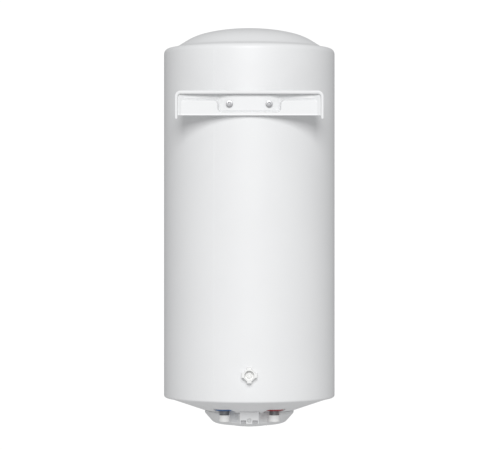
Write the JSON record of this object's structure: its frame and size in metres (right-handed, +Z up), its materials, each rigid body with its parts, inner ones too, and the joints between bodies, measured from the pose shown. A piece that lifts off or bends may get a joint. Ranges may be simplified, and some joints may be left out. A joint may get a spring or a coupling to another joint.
{
  "type": "tank water heater",
  "caption": "Slim wall-hung electric storage water heater with a wall bracket, two bottom pipe connections under transport caps and a thermostat dial underneath.",
  "frame": {"origin": "middle of the bracket's top lip, on the wall plane, where the heater hangs", "axes": "+Z up, +Y from the heater into the wall, +X to the left for someone who looks at the heater's back from the wall side, which is the side of the cold connection"},
  "size_m": [0.365, 0.378, 0.8518],
  "materials": {
    "enamel": "smooth semi-gloss white powder coat",
    "plastic": "finely grained white moulding",
    "cap": "soft natural white polyethylene",
    "steel": "zinc-plated, slightly dulled",
    "tank": "blue vitreous enamel",
    "foam": "closed-cell polyurethane foam",
    "rubber": "matt black moulded rubber",
    "membrane": "light grey moulded rubber",
    "blue": "blue polyamide",
    "red": "red polyamide",
    "copper": "bright drawn copper",
    "magnesium": "dull cast magnesium",
    "bakelite": "black phenolic moulding",
    "lens": "clear amber lens",
    "earth": "yellow and green insulation"
  },
  "bodies": {
    "heater": {"anode_nut": "steel", "anode_rod": "magnesium", "bottom_cover": "plastic", "bottom_end_cap": "enamel", "bracket_screw_left": "steel", "bracket_screw_right": "steel", "cable_grommet_left": "membrane", "cable_grommet_right": "membrane", "cable_hatch": "plastic", "casing": "enamel", "cold_diffuser": "plastic", "cold_inlet_pipe": "steel", "cold_nipple": "steel", "cold_ring": "blue", "cover_screw_left": "steel", "cover_screw_right": "steel", "earth_lead": "earth", "element_lead_live": "copper", "element_lead_neutral": "blue", "flange_gasket": "rubber", "flange_neck": "steel", "flange_nut_1": "steel", "flange_nut_2": "steel", "flange_nut_3": "steel", "flange_nut_4": "steel", "flange_nut_5": "steel", "flange_plate": "steel", "flange_stud_1": "steel", "flange_stud_2": "steel", "flange_stud_3": "steel", "flange_stud_4": "steel", "flange_stud_5": "steel", "foam_jacket": "foam", "hatch_screw": "plastic", "heating_element": "copper", "hot_nipple": "steel", "hot_outlet_pipe": "steel", "hot_ring": "red", "inner_tank": "tank", "power_lamp": "lens", "spacer_screw": "cap", "supply_lead_live": "copper", "supply_lead_neutral": "blue", "tank_lug_left": "steel", "tank_lug_right": "steel", "terminal_block": "plastic", "thermostat_body": "bakelite", "thermostat_pocket": "steel", "top_cover": "enamel", "wall_bracket": "enamel", "wall_spacer": "cap"},
    "dial": {"thermostat_dial": "plastic", "dial_shaft": "steel"},
    "cold_cap": {"cold_cap": "cap"},
    "hot_cap": {"hot_cap": "cap"},
    "reset": {"reset_button": "red"}
  },
  "joints": [
    {"name": "dial_turn", "type": "hinge", "parent": "heater", "child": "dial", "pos_m": [0, -0.1955, -0.69854], "axis": [0, 0, -1], "range_deg": [0, 270]},
    {"name": "cold_cap_pull", "type": "slide", "parent": "heater", "child": "cold_cap", "axis": [0, 0, -1], "range_m": [0, 0.05]},
    {"name": "hot_cap_pull", "type": "slide", "parent": "heater", "child": "hot_cap", "axis": [0, 0, -1], "range_m": [0, 0.05]},
    {"name": "reset_press", "type": "slide", "parent": "heater", "child": "reset", "axis": [0, 0, 1], "range_m": [0, 0.002], "stiffness_N_per_m": 400}
  ]
}
